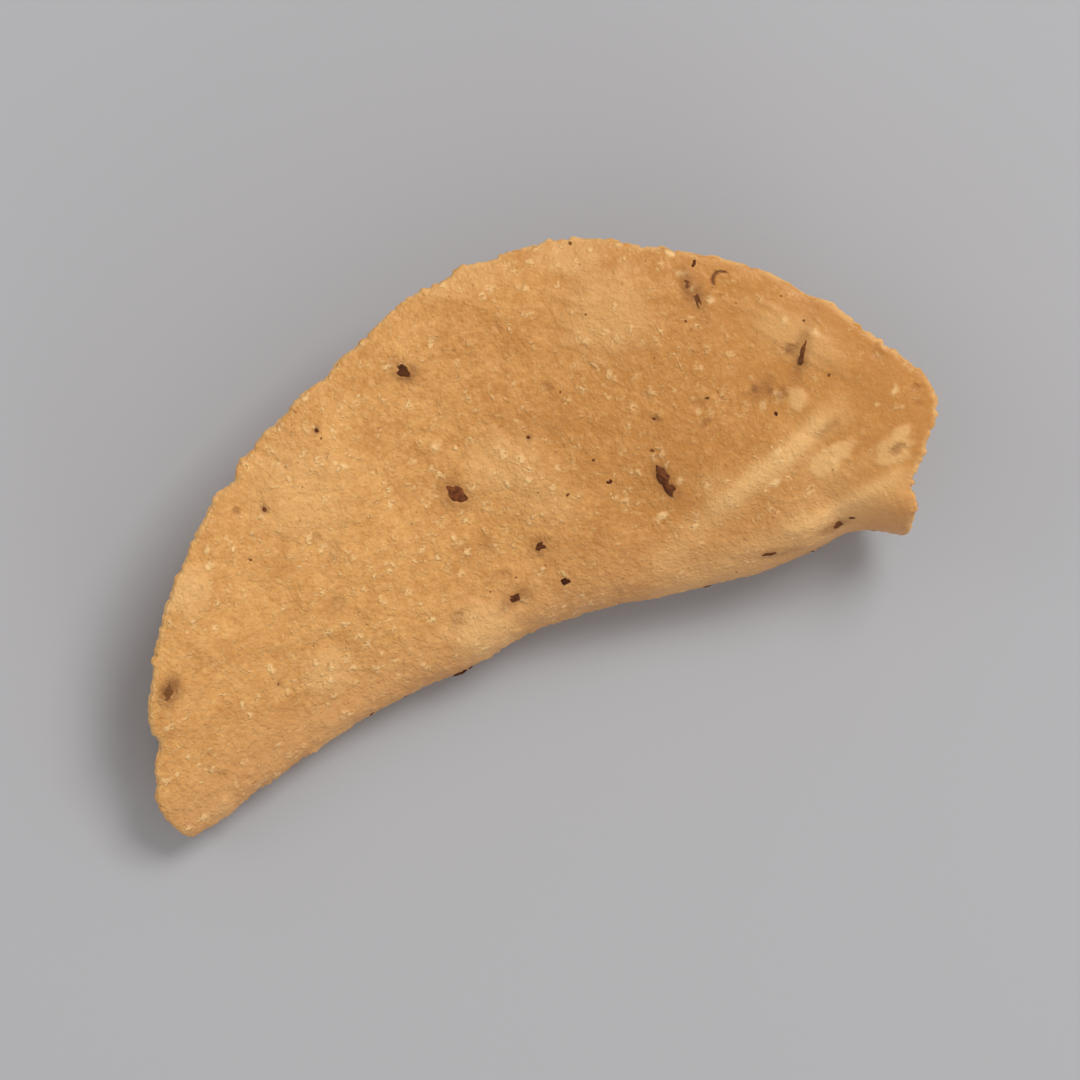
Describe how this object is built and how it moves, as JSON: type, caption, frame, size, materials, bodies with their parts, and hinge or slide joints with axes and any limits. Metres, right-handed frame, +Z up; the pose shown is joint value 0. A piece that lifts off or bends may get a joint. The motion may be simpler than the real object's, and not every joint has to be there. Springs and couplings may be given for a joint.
{
  "type": "pepper thattai",
  "caption": "Thin, crisp fried disc folded over into a half-moon with a ragged rim and an open mouth, blistered and flecked with cracked pepper.",
  "frame": {"origin": "under the middle of the wafer's box, on the surface that it lies on", "axes": "+X along the fold, from its pinched tip to its wide end; +Y out of the open mouth; +Z up, on the side shown"},
  "size_m": [0.0864, 0.045, 0.0209],
  "materials": {
    "fried_dough": "golden-brown fried rice-flour crust, finely grained, with a faint oily sheen",
    "black_pepper": "dark brown-black cracked pepper, matt"
  },
  "bodies": {
    "root": {"thattai": "fried_dough"}
  },
  "joints": []
}
